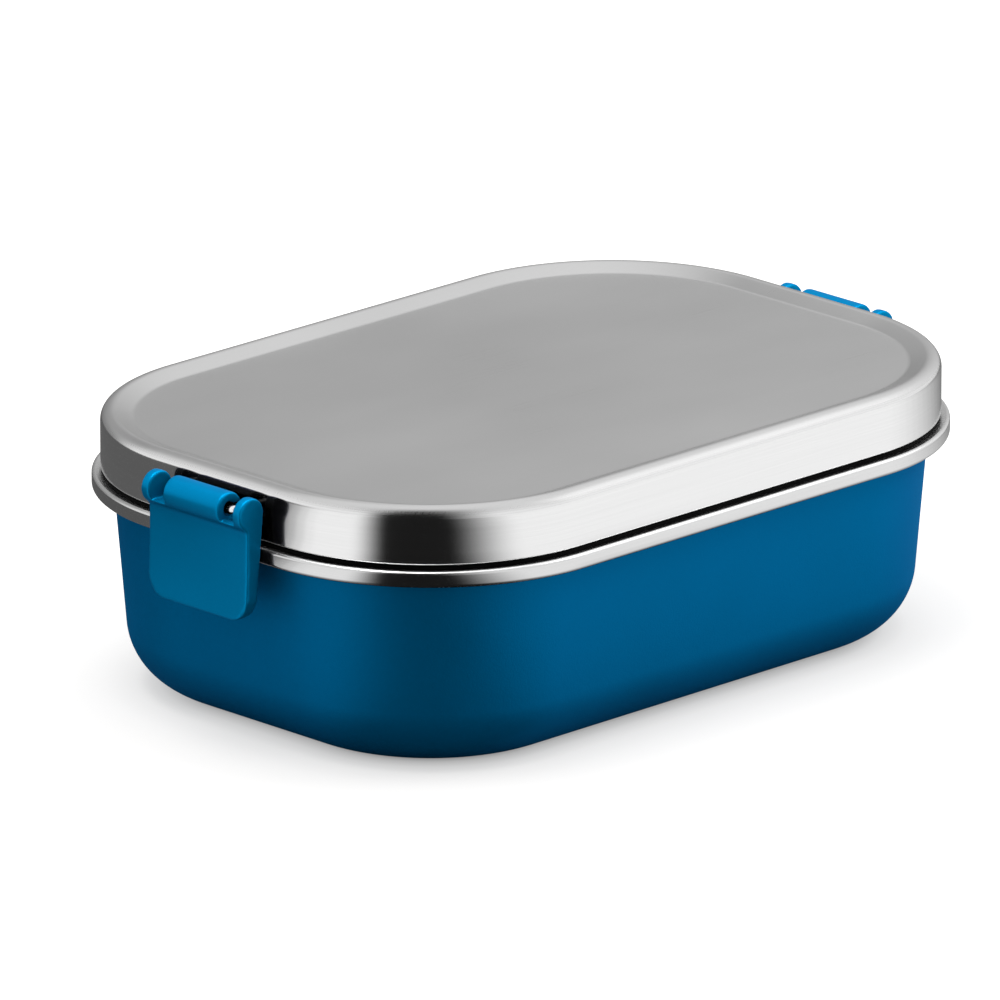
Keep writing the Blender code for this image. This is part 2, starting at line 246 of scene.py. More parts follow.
# %% [markdown]
# ## Lamps
#
# Large soft lamps close to the box give broad, gentle shading. A lamp is described by the brightness of
# its face and by where it stands, and the wattage follows from its area, so that its size can be changed
# without changing how bright it looks. The key stands to the right of the camera, so the long wall is
# lighter than the end with the clip. The lid's rolled edge and the wires would mirror the lamps as hard
# white lines. In a studio, flags keep a lamp off such a piece. Light linking does it here: the lamps share
# a collection of pieces that they leave out, and these show the room and its cards alone.

# %% Lamps
def soft_lamp(name, turn, rise, distance, width, height, brightness):
    """A rectangular lamp that looks at the box from a compass turn and a height angle."""
    data = bpy.data.lights.new(name, "AREA")
    data.shape = "RECTANGLE"
    data.size = width
    data.size_y = height
    data.energy = brightness * pi * width * height
    lamp = bpy.data.objects.new(name, data)
    away = Vector((cos(radians(turn)) * cos(radians(rise)), sin(radians(turn)) * cos(radians(rise)),
                   sin(radians(rise))))
    lamp.location = CAMERA_AIM + away * distance
    lamp.rotation_euler = (-away).to_track_quat("-Z", "Y").to_euler()
    bpy.context.scene.collection.objects.link(lamp)
    return lamp


LAMPS = {
    "key_lamp": dict(turn=328, rise=40, distance=1.5, width=0.9, height=0.7, brightness=4.1),
    "top_lamp": dict(turn=60, rise=82, distance=1.4, width=1.2, height=1.0, brightness=2.4),
    "end_lamp": dict(turn=176, rise=71, distance=1.4, width=0.8, height=0.7, brightness=3.8),
}
unlit = bpy.data.collections.new("out_of_lamp_light")
for name, values in LAMPS.items():
    soft_lamp(name, **values).light_linking.receiver_collection = unlit


def out_of_lamps(piece):
    """Keep the lamps' light off a piece."""
    unlit.objects.link(piece)
    unlit.collection_objects[-1].light_linking.link_state = "EXCLUDE"


print("lamps:", ", ".join(LAMPS))

# %% [markdown]
# ## Reflection cards
#
# Bright steel shows the room more than itself. Photographers stand dark, grey and bright cards round it to
# draw its edges. These cards are arcs of floor and of wall round the box, plain emitters seen only by rays
# that bounced off something shiny: they light no dull surface and don't appear in the picture. Each vertex
# carries how much of the card is there, so that a card can fade out at its ends and along its top.

# %% Reflection cards
CARD_STEPS = 48
CARD_LIFT = 0.0004


def eased(value):
    """Ease a value between 0 and 1."""
    value = max(0.0, min(1.0, value))
    return value * value * (3 - 2 * value)


def card(name, turns, fades, rows, level):
    """A card between two compass turns, faded at both ends, with rows of (radius, height, cover)."""
    start, end = turns
    bm = bmesh.new()
    cover = bm.verts.layers.float.new("cover")
    lines = []
    for radius, height, share in rows:
        lines.append([])
        for i in range(CARD_STEPS + 1):
            turn = start + (end - start) * i / CARD_STEPS
            vert = bm.verts.new((radius * cos(radians(turn)), radius * sin(radians(turn)), height))
            vert[cover] = share * eased((turn - start) / fades[0]) * eased((end - turn) / fades[1])
            lines[-1].append(vert)
    for low, high in zip(lines, lines[1:]):
        for i in range(CARD_STEPS):
            bm.faces.new((low[i], low[i + 1], high[i + 1], high[i]))
    mesh = bpy.data.meshes.new(name)
    bm.to_mesh(mesh)
    bm.free()
    finish, tree, output = new_material(name)
    there = node(tree, "Attribute", attribute_name="cover").outputs["Fac"]
    mix = node(tree, "MixShader", {0: there, 1: node(tree, "BsdfTransparent").outputs[0],
                                   2: node(tree, "Emission", {"Color": grey(level)}).outputs[0]})
    tree.links.new(mix.outputs[0], output.inputs["Surface"])
    mesh.materials.append(finish)
    made = bpy.data.objects.new(name, mesh)
    made.visible_camera = made.visible_diffuse = made.visible_shadow = made.visible_transmission = False
    bpy.context.scene.collection.objects.link(made)


CARDS = {
    "front_card": dict(turns=(188, 261), fades=(15, 33), level=0.012, rows=(
        (0.09, CARD_LIFT, 1), (0.9, CARD_LIFT, 1), (0.9, 0.7, 1), (0.75, 1.15, 1), (0.45, 1.45, 0.6),
        (0.2, 1.6, 0))),
    "back_floor_card": dict(turns=(-50, 173), fades=(76, 26), level=0.12, rows=(
        (0.09, CARD_LIFT, 1), (1.2, CARD_LIFT, 1))),
    "back_wall_card": dict(turns=(-5, 125), fades=(62, 30), level=0.30, rows=(
        (1.2, CARD_LIFT, 1), (1.2, 0.25, 1), (1.2, 1.1, 0))),
    "edge_card": dict(turns=(298, 376), fades=(10, 50), level=1.5, rows=(
        (1.1, CARD_LIFT, 0.1), (1.1, 0.35, 0.2), (1.1, 0.75, 1), (1.1, 1.15, 1), (1.1, 1.7, 0))),
    "left_wall_card": dict(turns=(48, 125), fades=(16, 30), level=0.40, rows=(
        (1.2, 0.42, 0), (1.2, 0.82, 1), (1.2, 1.3, 1), (1.2, 1.7, 0))),
}
for name, values in CARDS.items():
    card(name, **values)
print("cards:", ", ".join(CARDS))

# %% [markdown]
# ## Grain groups
#
# Several finishes share the same kinds of unevenness, so each kind is a node group: streaks that a brushing
# belt leaves, the fine pebbling of a powder coat or a moulded face, and slow clouds that break up any large
# plain surface. A group takes its fineness, in cycles per metre along X, Y and Z, and gives back only
# values. Each material decides what they do to its colour, roughness and bump. Noise seldom leaves the
# middle of its range, so that middle is stretched to 0 to 1.

# %% Grain groups
NOISE_MIDDLE = (0.3, 0.7)
PEBBLE_MIDDLE = (0.35, 0.65)


def new_group(name, *outputs):
    """A node group that takes a vector of cycles per metre and gives back values."""
    group = bpy.data.node_groups.new(name, "ShaderNodeTree")
    cycles = group.interface.new_socket("Cycles", in_out="INPUT", socket_type="NodeSocketVector")
    cycles.default_value = (1, 1, 1)
    for label in outputs:
        group.interface.new_socket(label, in_out="OUTPUT", socket_type="NodeSocketFloat")
    return group, group.nodes.new("NodeGroupInput"), group.nodes.new("NodeGroupOutput")


def noise_on(tree, scale_socket, detail, roughness):
    """Noise over the piece's own coordinates, stretched by a socket that carries the cycles."""
    place = node(tree, "TexCoord").outputs["Object"]
    spread = node(tree, "VectorMath", {0: place, 1: scale_socket}, operation="MULTIPLY")
    return node(tree, "TexNoise", {"Vector": spread.outputs[0], "Scale": 1.0, "Detail": detail,
                                   "Roughness": roughness}).outputs[0]


streaks, start, end = new_group("brush_streaks", "Streak")
fine = noise_on(streaks, start.outputs["Cycles"], detail=4.0, roughness=0.65)
streaks.links.new(stretched(streaks, fine, *NOISE_MIDDLE), end.inputs["Streak"])

pebbles, start, end = new_group("pebble_grain", "Height", "Tone")
small = noise_on(pebbles, start.outputs["Cycles"], detail=2.0, roughness=0.5)
pebbles.links.new(small, end.inputs["Height"])
pebbles.links.new(stretched(pebbles, small, *PEBBLE_MIDDLE), end.inputs["Tone"])

clouds, start, end = new_group("slow_clouds", "Cloud")
slow = noise_on(clouds, start.outputs["Cycles"], detail=2.0, roughness=0.45)
clouds.links.new(stretched(clouds, slow, *NOISE_MIDDLE), end.inputs["Cloud"])


def grain(tree, group, cycles):
    """Place a grain group in a material with its own fineness."""
    made = tree.nodes.new("ShaderNodeGroup")
    made.node_tree = group
    made.inputs["Cycles"].default_value = cycles
    return made.outputs


def shade(tree, value, colour, spread):
    """Map 0 to 1 onto a colour made darker and lighter by a share of itself."""
    dark, light = ((*(c * factor for c in colour), 1.0) for factor in (1 - spread, 1 + spread))
    return blend(tree, value, dark, light)


def bumped(tree, height, depth):
    """A normal from a 0 to 1 height that stands for a depth in metres."""
    return node(tree, "Bump", {"Height": height, "Strength": 1.0, "Distance": depth}).outputs[0]


print("groups:", ", ".join(group.name for group in bpy.data.node_groups))

# %% [markdown]
# ## Steel
#
# The lid is brushed along its length on top, while its skirt is brushed round the box and buffed smoother.
# Where it faces sideways its grey is also set lighter: painted light, for the brighter room the skirt
# mirrors.
# One material does both: the streak noise is stretched along X where the surface faces up, and along the
# level everywhere else, so the small numbers give the way of the brush. One brushing fades into the other
# between two values of the normal's upright part. The slow clouds stand for the slight waviness that any
# thin sheet has: they tint its flat faces lighter and darker, a painted stand-in for the uneven reflections
# of a wavy sheet, and with the streaks they vary its roughness.

# %% Steel finishes
BRUSHED_ALONG = (9, 2600, 60)
BRUSHED_ROUND = (12, 12, 3200)
SHEET_WAVES = (13, 22, 22)
SIDE_FACING = 0.15
TOP_FACING = 0.65
STREAK_SHARE = 0.2
TOP_SPREAD = 0.06
SIDE_SPREAD = 0.03
ROUGH_SPREAD = 0.03
STREAK_DEPTH = 0.0000006


def steel(name, top_rough, side_rough, top_grey, side_grey):
    """Brushed steel with one set of values where it faces up or down and one where it faces sideways."""
    made, tree, output = new_material(name)
    facing = node(tree, "SeparateXYZ", {0: node(tree, "NewGeometry").outputs["True Normal"]}).outputs["Z"]
    level = node(tree, "Math", {0: facing}, operation="ABSOLUTE").outputs[0]
    flat = node(tree, "MapRange", {"Value": level, "From Min": SIDE_FACING, "From Max": TOP_FACING},
                interpolation_type="SMOOTHSTEP").outputs[0]
    along = grain(tree, streaks, BRUSHED_ALONG)["Streak"]
    round_box = grain(tree, streaks, BRUSHED_ROUND)["Streak"]
    streak = mixed(tree, flat, round_box, along)
    cloud = grain(tree, clouds, SHEET_WAVES)["Cloud"]
    # Painted reflection: the clouds tint the flat faces as the uneven reflections of a wavy sheet would.
    top = shade(tree, mixed(tree, STREAK_SHARE, cloud, streak), [top_grey] * 3, TOP_SPREAD)
    side = shade(tree, streak, [side_grey] * 3, SIDE_SPREAD)
    total = node(tree, "Math", {0: streak, 1: cloud}, operation="ADD").outputs[0]
    average = node(tree, "Math", {0: total, 1: 0.5}, operation="MULTIPLY").outputs[0]
    top_value = between(tree, average, top_rough - ROUGH_SPREAD, top_rough + ROUGH_SPREAD)
    side_value = between(tree, average, side_rough - ROUGH_SPREAD, side_rough + ROUGH_SPREAD)
    shader = node(tree, "BsdfPrincipled", {
        "Base Color": blend(tree, flat, side, top), "Roughness": mixed(tree, flat, side_value, top_value),
        "Metallic": 1.0, "Normal": bumped(tree, streak, STREAK_DEPTH)})
    tree.links.new(shader.outputs[0], output.inputs["Surface"])
    return made


# Each side grey is lighter than its top grey: painted light for the brighter reflections on skirt and rim
# face.
lid_steel = steel("brushed_lid_steel", top_rough=0.30, side_rough=0.13, top_grey=0.63, side_grey=0.79)
tub_steel = steel("drawn_tub_steel", top_rough=0.26, side_rough=0.14, top_grey=0.64, side_grey=0.68)
print("steel finishes ready")

# %% [markdown]
# ## Powder coat, plastic, silicone and wire
#
# Powder coat is a satin film with very fine pebbling. The moulded clips are the same blue family but
# lighter, with a finer and softer grain. The seal is near-black silicone with a dull sheen, and the bails
# are bright drawn wire with fine die marks. To rays that bounced off something shiny, a Light Path node
# gives all these finishes a painted near-black shade, so the polished skirt shows clips and wires as a
# nearly black patch, as if it mirrored only their shaded backs.

# %% Other finishes
# Painted shade: the near-black tone that mirrored rays meet on the coat, clip, seal and wire finishes.
MIRRORED_PAINTED_SHADE = 0.01
COAT_CLOUDS = (30, 30, 30)
PEBBLE_SHARE = 0.4
SATIN_SPREAD = 0.05
SATIN_SPECULAR = 0.03
BLUE_TINT = (0.0, 0.4, 0.9, 1.0)
DIE_MARKS = (40, 40, 2500)
DIE_DEPTH = 0.000001
WIRE_TONES = (0.82, 0.90)
WIRE_ROUGH = (0.14, 0.22)


def painted_shade_in_mirrors(tree, colour):
    """The colour as the eye meets it, and a painted near-black shade to rays that bounced off something
    shiny.
    """
    return blend(tree, node(tree, "LightPath").outputs["Is Glossy Ray"], colour, grey(MIRRORED_PAINTED_SHADE))


def satin(name, colour, roughness, cycles, depth, spread, metallic, tint):
    """A coloured satin surface: pebbled bump, with slight changes of tone and roughness."""
    made, tree, output = new_material(name)
    pebble = grain(tree, pebbles, (cycles, cycles, cycles))
    cloud = grain(tree, clouds, COAT_CLOUDS)["Cloud"]
    tone = mixed(tree, PEBBLE_SHARE, cloud, pebble["Tone"])
    shader = node(tree, "BsdfPrincipled", {
        "Base Color": painted_shade_in_mirrors(tree, shade(tree, tone, colour, spread)),
        "Roughness": between(tree, tone, roughness - SATIN_SPREAD, roughness + SATIN_SPREAD),
        "Metallic": metallic, "Specular IOR Level": SATIN_SPECULAR, "Specular Tint": tint,
        "Normal": bumped(tree, pebble["Height"], depth)})
    tree.links.new(shader.outputs[0], output.inputs["Surface"])
    return made


powder_coat = satin("blue_powder_coat", (0.0, 0.189, 0.434), roughness=0.55, cycles=2300, depth=0.00005,
                    spread=0.06, metallic=0.6, tint=BLUE_TINT)
clip_plastic = satin("blue_clip_plastic", (0.0, 0.254, 0.540), roughness=0.36, cycles=3200, depth=0.00002,
                     spread=0.04, metallic=0.5, tint=BLUE_TINT)
silicone = satin("black_silicone", (0.002, 0.002, 0.002), roughness=0.6, cycles=2600, depth=0.00001,
                 spread=0.2, metallic=0.0, tint=grey(1.0))

bright_wire, tree, output = new_material("bright_wire")
drawn = grain(tree, streaks, DIE_MARKS)["Streak"]
shader = node(tree, "BsdfPrincipled", {
    "Base Color": painted_shade_in_mirrors(tree, blend(tree, drawn, *(grey(tone) for tone in WIRE_TONES))),
    "Roughness": between(tree, drawn, *WIRE_ROUGH), "Metallic": 1.0,
    "Normal": bumped(tree, drawn, DIE_DEPTH)})
tree.links.new(shader.outputs[0], output.inputs["Surface"])
print("finishes:", ", ".join(m.name for m in (powder_coat, clip_plastic, silicone, bright_wire)))

# %% [markdown]
# ## Sweeping a section round the box
#
# Tub, lid and seal are the same rounded rectangle at different sizes, like rings of one shape. A section
# is drawn once as points of (inset, height), the inset measured inwards from the outside of the lid's
# skirt. Sweeping it round the outline makes the piece. A Curve with a bevel object could do this too, but
# insetting the outline itself keeps every wall square to its run, also in the corners.

# %% Outline and sweep
CORNER_STEPS = 40
STRAIGHT_STEPS = 10
QUARTERS = ((1, 1), (-1, 1), (-1, -1), (1, -1))


def outline(inset):
    """Points round the lid's outline, moved in by inset: four quarter arcs and the straights between."""
    points = []
    for quarter, signs in enumerate(QUARTERS):
        centre = Vector(signs) * CORE
        for step in range(CORNER_STEPS + 1):
            turn = (quarter + step / CORNER_STEPS) * pi / 2
            reach = Vector((cos(turn), sin(turn))) * (CORNER - inset)
            points.append(centre + reach)
        next_start = Vector(QUARTERS[(quarter + 1) % len(QUARTERS)]) * CORE + reach
        last = points[-1]
        points += [last.lerp(next_start, k / STRAIGHT_STEPS) for k in range(1, STRAIGHT_STEPS)]
    return points


def swept(bm, section, closed=False):
    """Rings of vertices for each point of the section, joined by faces."""
    rings = [[bm.verts.new((*point, height)) for point in outline(inset)] for inset, height in section]
    pairs = list(zip(rings, rings[1:]))
    if closed:
        pairs.append((rings[-1], rings[0]))
    for near, far in pairs:
        for i in range(len(near)):
            bm.faces.new((near[i - 1], near[i], far[i], far[i - 1]))
    return rings


def arc(centre, radius, start, end, steps):
    """Points round a centre from one angle in degrees to another."""
    turns = [radians(start + (end - start) * i / steps) for i in range(steps + 1)]
    return [(centre[0] + radius * cos(a), centre[1] + radius * sin(a)) for a in turns]


print("outline of", len(outline(0)), "points")

# %% [markdown]
# ## From section to solid
#
# A pressed sheet is drawn as one surface, with a flat face in its middle, and the Solidify modifier gives
# it its gauge. One extra ring just inside the flat face keeps its shading dead level. The modifiers are
# then baked in, so that edges sharper than a limit can be marked and shade crisply.

# %% Sheets and baking
FLAT_RING = 0.0015
SHARP_ANGLE = radians(40)


def new_piece(name, mesh, finish, body, slot, *nodes):
    """Put a mesh in the scene as a piece that rides on a body and stands for some of the model's nodes."""
    made = bpy.data.objects.new(name, mesh)
    mesh.materials.clear()
    mesh.materials.append(finish)
    bpy.context.scene.collection.objects.link(made)
    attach(made, body)
    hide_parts(*nodes)
    print(name, "has", len(mesh.polygons), "faces")
    return made


def baked(thing):
    """The mesh of an object with its modifiers, smooth up to the sharp angle. The object is removed."""
    bpy.context.view_layer.update()
    seen = thing.evaluated_get(bpy.context.evaluated_depsgraph_get())
    mesh = bpy.data.meshes.new_from_object(seen)
    bpy.data.objects.remove(thing, do_unlink=True)
    mesh.shade_smooth()
    mesh.set_sharp_from_angle(angle=SHARP_ANGLE)
    return mesh


def as_object(name, bm):
    """A plain object from a bmesh."""
    mesh = bpy.data.meshes.new(name)
    bm.to_mesh(mesh)
    bm.free()
    made = bpy.data.objects.new(name, mesh)
    bpy.context.scene.collection.objects.link(made)
    return made


def pressed_sheet(name, section, facing, gauge):
    """Sweep a section that starts at the edge of a flat middle, and thicken it behind its face."""
    bm = bmesh.new()
    inset, height = section[0]
    rings = swept(bm, [(inset + FLAT_RING, height)] + section)
    middle = bm.faces.new(rings[0])
    bmesh.ops.recalc_face_normals(bm, faces=bm.faces)
    middle.normal_update()
    if middle.normal.z * facing < 0:
        bmesh.ops.reverse_faces(bm, faces=bm.faces)
    sheet = as_object(name, bm)
    gauge_step = sheet.modifiers.new("gauge", "SOLIDIFY")
    gauge_step.thickness = gauge
    gauge_step.offset = -1
    gauge_step.use_even_offset = True
    return baked(sheet)


print("sheet tools ready")

# %% [markdown]
# ## Rounding a drawn path
#
# Rolled rims and moulded seals are easiest to draw with square corners that are rounded afterwards. For
# each corner, the arc touches both sides, so its centre lies on the line that halves the angle.

# %% Rounded paths
def rounded(path, radii, steps):
    """An open path with its corners turned into arcs. The two ends stay."""
    path = [Vector(point) for point in path]
    points = [path[0]]
    for before, corner, after, radius in zip(path, path[1:], path[2:], radii):
        back = (before - corner).normalized()
        on = (after - corner).normalized()
        half = back.angle(on) / 2
        centre = corner + (back + on).normalized() * (radius / sin(half))
        spoke = corner + back * (radius / tan(half)) - centre
        turn = (pi - 2 * half) * (1 if back.cross(on) < 0 else -1)
        points += [centre + Matrix.Rotation(turn * k / steps, 2) @ spoke for k in range(steps + 1)]
    points.append(path[-1])
    return [tuple(point) for point in points]


print("rounded paths ready")

# %% [markdown]
# ## The tub
#
# The real tub is one drawn sheet. Outside it carries the blue coat up to the rim; inside, and round the
# rolled rim, it is bare steel. So it is made as two shells: the steel, and a film of paint on its outside
# that stops in the shadow under the rim. Painting one shell with two materials would also work, but a
# film with a real edge looks right from below too. The rim is rolled out and down and then pressed: its
# outer face is flat and mirrors the floor evenly, and a low crest along its top catches the light.

# %% Tub sections
SHEET = 0.0006
COAT = 0.00012
COAT_GAP = 0.00002
DRAFT_ANGLE = 4.8
DRAFT = radians(DRAFT_ANGLE)
BOTTOM_RADIUS = 0.0176
WALL_INSET = 0.0030
RIM_BEND = 0.0008
RIM_BEAD = 0.0044
RIM_HEIGHT = 0.0039
RIM_RISE = 0.0004
RIM_SHOULDER = 0.0009
RIM_FOOT = 0.0010
RIM_CURL = 0.0018
RIM_TUCK = 0.0009
BOTTOM_STEPS = 24
WALL_STEPS = 6
BEND_STEPS = 8


def wall_inset(height):
    """Inset of the wall's outside at a height below the rim."""
    return WALL_INSET + (RIM_TOP - SHEET - height) * tan(DRAFT)


def rim_bend_centre():
    """Centre of the bend from the wall into the rim's flange."""
    height = RIM_TOP - SHEET - RIM_BEND
    return wall_inset(height + RIM_BEND * sin(DRAFT)) - RIM_BEND * cos(DRAFT), height


def wall_section(depth):
    """Floor edge, bottom radius, wall and bend, a depth behind the painted face."""
    foot = BOTTOM_RADIUS * (1 - sin(DRAFT))
    centre = (wall_inset(foot) + BOTTOM_RADIUS * cos(DRAFT), BOTTOM_RADIUS)
    bottom = arc(centre, BOTTOM_RADIUS - depth, 270, 180 + DRAFT_ANGLE, BOTTOM_STEPS)
    bend = arc(rim_bend_centre(), RIM_BEND + depth, DRAFT_ANGLE, 90, BEND_STEPS)
    low, high = Vector(bottom[-1]), Vector(bend[0])
    wall = [tuple(low.lerp(high, k / WALL_STEPS)) for k in range(1, WALL_STEPS)]
    return bottom + wall + bend


print("wall leans", DRAFT_ANGLE, "degrees")

# %% Tub pieces
CURL_STEPS = 10


def rim_curl(depth):
    """The rolled rim with its crest and flat outer face, drawn on the hidden side of the sheet."""
    gauge = SHEET - depth
    top, bottom = RIM_TOP - gauge, RIM_TOP - RIM_HEIGHT + gauge
    outer, inner = gauge - RIM_OVERHANG, RIM_BEAD - RIM_OVERHANG - gauge
    path = [(RIM_BEAD / 2 - RIM_OVERHANG, top), (outer, top + RIM_RISE), (outer, bottom), (inner, bottom),
            (inner, bottom + RIM_CURL + RIM_TUCK)]
    return rounded(path, [turn - gauge for turn in (RIM_SHOULDER, RIM_FOOT, RIM_CURL)], CURL_STEPS)


steel_face = COAT + COAT_GAP
tub_mesh = pressed_sheet("tub_steel", wall_section(steel_face) + rim_curl(steel_face), -1,
                         SHEET - steel_face)
new_piece("tub_steel", tub_mesh, tub_steel, "base", "steel", "base_tub")
coat_mesh = pressed_sheet("tub_coat", wall_section(0), -1, COAT)
new_piece("tub_coat", coat_mesh, powder_coat, "base", "blue_paint", "base_tub")

# %% [markdown]
# ## The lid
#
# The lid is pressed from the same gauge of sheet. Its flat panel lies a little below the edge: a tight bend
# leads into a straight slope, which runs into the rolled edge, the upright skirt and a hem that turns in
# for the seal to grip. The slope touches both arcs, so its angle follows from their centres and radii.

# %% Lid
TOP_ROUND = 0.0030
BORDER = 0.00875
PANEL_DEPTH = 0.00185
PANEL_BEND = 0.0030
HEM_ROUND = 0.0005
HEM_WIDTH = 0.0034
ROUND_STEPS = 12
SKIRT_STEPS = 4


def lid_section():
    """Panel bend, slope, rolled edge, skirt and hem."""
    bend_centre = (BORDER, LID_TOP - PANEL_DEPTH + PANEL_BEND)
    edge_centre = (TOP_ROUND, LID_TOP - TOP_ROUND)
    across, up = bend_centre[0] - edge_centre[0], bend_centre[1] - edge_centre[1]
    slope = degrees(asin((PANEL_BEND + TOP_ROUND) / hypot(across, up)) - atan2(up, across))
    bend = arc(bend_centre, PANEL_BEND, 270, 270 - slope, ROUND_STEPS // 2)
    edge = arc(edge_centre, TOP_ROUND, 90 - slope, 180, ROUND_STEPS)
    hem = arc((HEM_ROUND, LID_BASE + HEM_ROUND), HEM_ROUND, 180, 270, ROUND_STEPS)
    high, low = Vector(edge[-1]), Vector(hem[0])
    skirt = [tuple(high.lerp(low, k / SKIRT_STEPS)) for k in range(1, SKIRT_STEPS)]
    return bend + edge + skirt + hem + [(HEM_WIDTH, LID_BASE)]


lid_cover = new_piece("lid_cover", pressed_sheet("lid_cover", lid_section(), 1, SHEET), lid_steel,
                      "lid", "steel", "lid_shell")
out_of_lamps(lid_cover)

# %% [markdown]
# ## The seal
#
# The silicone ring grips the lid's hem in a groove. Its foot lies on the rim, where it shows as a thin
# black band, and a lip goes down into the tub's mouth. It is a closed section swept round the outline.
# The band's outer face bulges a little, because the lid's clips squeeze it.

# %% Seal
SEAL_TOUCH = 0.00006
SEAL_INSET = 0.0005
SEAL_NECK = 0.0016
SEAL_HEAD = 0.0015
SEAL_LIP = 0.0034
SEAL_LIP_THICK = 0.0014
SEAL_BULGE = 0.00018
SEAL_ROUND = 0.00025
SEAL_STEPS = 4


def seal_section():
    """The band, the foot on the rim, the lip in the mouth, the neck and the head above the hem."""
    foot = RIM_TOP + SEAL_TOUCH
    shoulder = LID_BASE - SEAL_TOUCH
    clear = SHEET + SEAL_TOUCH
    lip_foot = foot - SEAL_LIP
    mouth = wall_inset(lip_foot) + clear / cos(DRAFT)
    neck = HEM_WIDTH + SEAL_TOUCH
    inner = max(neck + SEAL_NECK, mouth + SEAL_LIP_THICK)
    grip = LID_BASE + SHEET + SEAL_TOUCH
    head_edge = HEM_ROUND + SEAL_TOUCH
    bend = arc(rim_bend_centre(), RIM_BEND + clear, 90, DRAFT_ANGLE, BEND_STEPS)
    lip = rounded([bend[-1], (mouth, lip_foot), (mouth + SEAL_LIP_THICK, lip_foot), (inner, foot),
                   (inner, grip + SEAL_HEAD), (head_edge, grip + SEAL_HEAD), (head_edge, grip),
                   (neck, grip), (neck, shoulder), (SEAL_INSET, shoulder)],
                  [SEAL_ROUND] * 6 + [SEAL_ROUND / 2] * 2, SEAL_STEPS)
    band = []
    for step in range(SEAL_STEPS * 2 + 1):
        share = step / (SEAL_STEPS * 2)
        band.append((SEAL_INSET - SEAL_BULGE * sin(pi * share), shoulder + (foot - shoulder) * share))
    return bend + lip[1:-1] + band


bm = bmesh.new()
swept(bm, seal_section(), closed=True)
bmesh.ops.recalc_face_normals(bm, faces=bm.faces)
new_piece("seal_ring", baked(as_object("seal_ring", bm)), silicone, "lid", "seal", "lid_gasket")

# %% [markdown]
# ## The wire bails
#
# Each bail is a length of bright wire across the end of the lid. Its two legs turn in and are welded to
# the skirt. The wire is a circle carried along a path that stays level, so one side of the circle is
# always straight up. The legs swell at the skirt, where the weld pushed the metal up.

# %% Wire bails
WIRE = 0.0024
BAIL_SPAN = 0.0245
BAIL_BEND = 0.0022
WELD_SWELL = 1.1
WELD_LENGTH = 0.0010
WELD_STEPS = 6
WIRE_SIDES = 28


def level_tube(name, path, radii):
    """A tube with closed ends along a level path, with a radius for each point."""
    bm = bmesh.new()
    path = [Vector((*point, 0)) for point in path]
    rings = []
    for i, (point, radius) in enumerate(zip(path, radii)):
        run = (path[min(i + 1, len(path) - 1)] - path[max(i - 1, 0)]).normalized()
        side = run.cross(Vector((0, 0, 1)))
        turns = [2 * pi * k / WIRE_SIDES for k in range(WIRE_SIDES)]
        rings.append([bm.verts.new(point + radius * (cos(a) * side + sin(a) * Vector((0, 0, 1))))
                      for a in turns])
    for near, far in zip(rings, rings[1:]):
        for k in range(WIRE_SIDES):
            bm.faces.new((near[k - 1], near[k], far[k], far[k - 1]))
    bm.faces.new(rings[0])
    bm.faces.new(rings[-1])
    bmesh.ops.recalc_face_normals(bm, faces=bm.faces)
    return baked(as_object(name, bm))


def bail_path(reach):
    """The path of one bail and its radii, with x out from the lid and the wire's straight at x = 0."""
    half = BAIL_SPAN / 2
    weld = [(-reach + WELD_LENGTH * k / WELD_STEPS, half) for k in range(WELD_STEPS + 1)]
    swell = [1 + (WELD_SWELL - 1) * (1 - k / WELD_STEPS) ** 2 for k in range(WELD_STEPS + 1)]
    bend = arc((-BAIL_BEND, half - BAIL_BEND), BAIL_BEND, 90, 0, ROUND_STEPS)
    near = weld + bend
    sizes = swell + [1] * len(bend)
    path = near + [(x, -y) for x, y in reversed(near)]
    return path, [WIRE / 2 * size for size in sizes + sizes[::-1]]


def facing_out(hinge):
    """The place of a piece that was drawn about its hinge with x out from the box."""
    return Matrix.Translation(hinge) @ Matrix.Rotation(0 if hinge.x > 0 else pi, 4, "Z")


for name, hinge in sorted(HINGES.items()):
    path, radii = bail_path(abs(hinge.x) - LID_LENGTH / 2)
    wire_mesh = level_tube("wire", path, radii)
    wire_mesh.transform(facing_out(hinge))
    tag = name.split("_")[1]
    out_of_lamps(new_piece("wire_bail_" + tag, wire_mesh, bright_wire, "lid", "wire", "bail_" + tag))

# %% [markdown]
# ## The clips
#
# A clip is one moulding: a barrel that snaps on the wire, a cheek at each side, a flap with a hollow back
# and a catch that goes under the rim. Its side view and front view are drawn as outlines, given a width,
# and combined with Boolean modifiers. A moulding has no sharp edges, so the result is remeshed into small
# even faces and smoothed, which rounds each edge by under a millimetre and each inner corner as well.

# %% Clip outlines
CLIP_WIDTH = 0.0350
CLIP_LENGTH = 0.0278
BARREL = 0.0084
BARREL_WIDTH = 0.0196
CHEEK = 0.0028
NOTCH_DEPTH = 0.0026
FRONT = 0.0014
FLARE = 0.0008
NECK_ROUND = 0.0020
PLATE = 0.0024
CLIP_CORNER = 0.0060
FOOT = 0.0036
BRIDGE = 0.0024
SNAP_SLOT = 0.0020
BORE_GAP = 0.0006
CLEARANCE = 0.0003
HOOK_THICK = 0.0025
HOOK_WIDTH = 0.0240
HOOK_TIP_GAP = 0.0010
OVERCUT = 0.0020
CLIP_STEPS = 24
REACH = abs(HINGES["clip_right"].x) - LID_LENGTH / 2
WIRE_HEIGHT = HINGES["clip_right"].z
BACK = REACH - RIM_OVERHANG - CLEARANCE / 3
RIM_LEVEL = WIRE_HEIGHT - RIM_TOP + RIM_BEAD / 3


